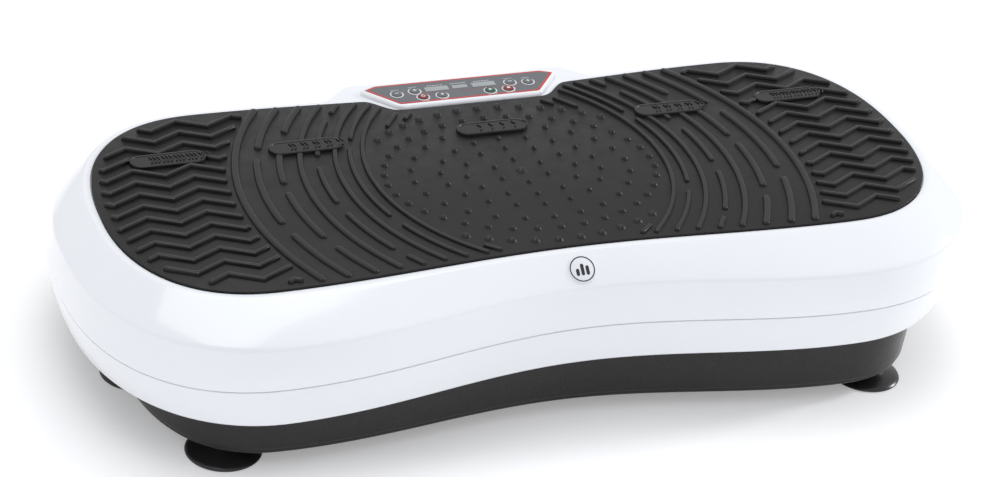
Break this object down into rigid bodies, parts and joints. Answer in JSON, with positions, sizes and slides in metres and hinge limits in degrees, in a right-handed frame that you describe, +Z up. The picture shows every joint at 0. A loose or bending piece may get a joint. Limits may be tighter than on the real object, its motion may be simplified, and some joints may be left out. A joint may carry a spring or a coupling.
{
  "type": "vibration plate",
  "caption": "Waisted standing platform with a ribbed rubber mat and control panel that rocks on a black base with suction feet.",
  "frame": {"origin": "centre of the footprint on the floor, level with the undersides of the suction feet", "axes": "+X along the length to the right of a user facing the long side, +Y away from that user towards the control panel, +Z up"},
  "size_m": [0.6634, 0.3225, 0.1408],
  "materials": {
    "white_shell": "gloss white moulded cover",
    "mat_rubber": "matte moulded rubber",
    "steel": "plain steel",
    "badge_silver": null,
    "panel_film": "satin printed film",
    "panel_red": "red printed line",
    "display_window": "smoked window",
    "circuit_board": "green laminate",
    "tray_black": "satin black moulding",
    "foot_rubber": "glossy soft rubber",
    "cast_bearing": "as cast, bored",
    "motor_paint": "satin dark paint",
    "belt_rubber": "matte",
    "transformer_wrap": "yellow tape over laminations",
    "inlet_black": "fine texture",
    "contact_brass": "bright",
    "rocker_red": "gloss",
    "pulley_metal": "turned",
    "zinc_fastener": "zinc plated",
    "button_grey": "satin",
    "button_red": "satin",
    "button_green": "satin"
  },
  "bodies": {
    "base": {"base_tray": "tray_black", "base_plate": "steel", "pivot_bearing_front": "cast_bearing", "pivot_bearing_rear": "cast_bearing", "shaft_bearing_front": "cast_bearing", "shaft_bearing_rear": "cast_bearing", "motor_body": "motor_paint", "motor_cradle": "steel", "drive_belt": "belt_rubber", "power_board": "circuit_board", "power_transformer": "transformer_wrap", "mains_inlet": "inlet_black", "inlet_contacts": "contact_brass", "switch_frame": "inlet_black", "end_foot_left": "foot_rubber", "end_foot_right": "foot_rubber", "suction_foot_front_left": "foot_rubber", "foot_bolt_front_left": "zinc_fastener", "tray_screw_front_left": "zinc_fastener", "suction_foot_front_right": "foot_rubber", "foot_bolt_front_right": "zinc_fastener", "tray_screw_front_right": "zinc_fastener", "suction_foot_rear_left": "foot_rubber", "foot_bolt_rear_left": "zinc_fastener", "tray_screw_rear_left": "zinc_fastener", "suction_foot_rear_right": "foot_rubber", "foot_bolt_rear_right": "zinc_fastener", "tray_screw_rear_right": "zinc_fastener"},
    "platform": {"top_cover": "white_shell", "lower_skirt": "white_shell", "rubber_mat": "mat_rubber", "platform_plate": "steel", "axle_lug_front": "steel", "axle_lug_rear": "steel", "link_lug_front": "steel", "link_lug_rear": "steel", "pivot_axle": "steel", "link_pin": "steel", "front_badge": "badge_silver", "panel_housing": "white_shell", "control_overlay": "panel_film", "panel_border": "panel_red", "display_speed": "display_window", "display_mode": "display_window", "display_time": "display_window", "control_board": "circuit_board"},
    "link": {"connecting_link": "steel"},
    "eccentric": {"eccentric_shaft": "steel", "driven_pulley": "pulley_metal"},
    "motor_rotor": {"motor_spindle": "steel", "motor_pulley": "pulley_metal"},
    "rocker": {"power_rocker": "rocker_red"},
    "button_preset_left": {"button_preset_left": "button_grey"},
    "button_preset_right": {"button_preset_right": "button_grey"},
    "button_power": {"button_power": "button_red"},
    "button_mode": {"button_mode": "button_grey"},
    "button_start": {"button_start": "button_green"},
    "button_stop": {"button_stop": "button_red"},
    "button_speed_down": {"button_speed_down": "button_grey"},
    "button_speed_up": {"button_speed_up": "button_grey"}
  },
  "joints": [
    {"name": "platform_rock", "type": "hinge", "parent": "base", "child": "platform", "pos_m": [0, 0, 0.085], "axis": [0, 1, 0], "range_deg": [0, 3.4]},
    {"name": "link_swing", "type": "hinge", "parent": "platform", "child": "link", "pos_m": [0.04471, 0, 0.09533], "axis": [0, 1, 0], "range_deg": [-3.4, 0]},
    {"name": "eccentric_spin", "type": "hinge", "parent": "base", "child": "eccentric", "pos_m": [0.04471, 0, 0.051], "axis": [0, 1, 0], "continuous": true},
    {"name": "motor_spin", "type": "hinge", "parent": "base", "child": "motor_rotor", "pos_m": [-0.13, 0, 0.0545], "axis": [0, 1, 0], "continuous": true},
    {"name": "rocker_tilt", "type": "hinge", "parent": "base", "child": "rocker", "pos_m": [0.018, 0.1427, 0.03], "axis": [0, 0, 1], "range_deg": [0, 18]},
    {"name": "button_preset_left_press", "type": "slide", "parent": "platform", "child": "button_preset_left", "axis": [0.0297, 0, -0.9996], "range_m": [0, 0.0005], "stiffness_N_per_m": 1500},
    {"name": "button_preset_right_press", "type": "slide", "parent": "platform", "child": "button_preset_right", "axis": [0.0297, 0, -0.9996], "range_m": [0, 0.0005], "stiffness_N_per_m": 1500},
    {"name": "button_power_press", "type": "slide", "parent": "platform", "child": "button_power", "axis": [0.0297, 0, -0.9996], "range_m": [0, 0.0005], "stiffness_N_per_m": 1500},
    {"name": "button_mode_press", "type": "slide", "parent": "platform", "child": "button_mode", "axis": [0.0297, 0, -0.9996], "range_m": [0, 0.0005], "stiffness_N_per_m": 1500},
    {"name": "button_start_press", "type": "slide", "parent": "platform", "child": "button_start", "axis": [0.0297, 0, -0.9996], "range_m": [0, 0.0005], "stiffness_N_per_m": 1500},
    {"name": "button_stop_press", "type": "slide", "parent": "platform", "child": "button_stop", "axis": [0.0297, 0, -0.9996], "range_m": [0, 0.0005], "stiffness_N_per_m": 1500},
    {"name": "button_speed_down_press", "type": "slide", "parent": "platform", "child": "button_speed_down", "axis": [0.0297, 0, -0.9996], "range_m": [0, 0.0005], "stiffness_N_per_m": 1500},
    {"name": "button_speed_up_press", "type": "slide", "parent": "platform", "child": "button_speed_up", "axis": [0.0297, 0, -0.9996], "range_m": [0, 0.0005], "stiffness_N_per_m": 1500}
  ],
  "couplings": [
    {"joint": "link_swing", "follows": "platform_rock", "ratio": -1},
    {"joint": "motor_spin", "follows": "eccentric_spin", "ratio": 1.6667}
  ]
}
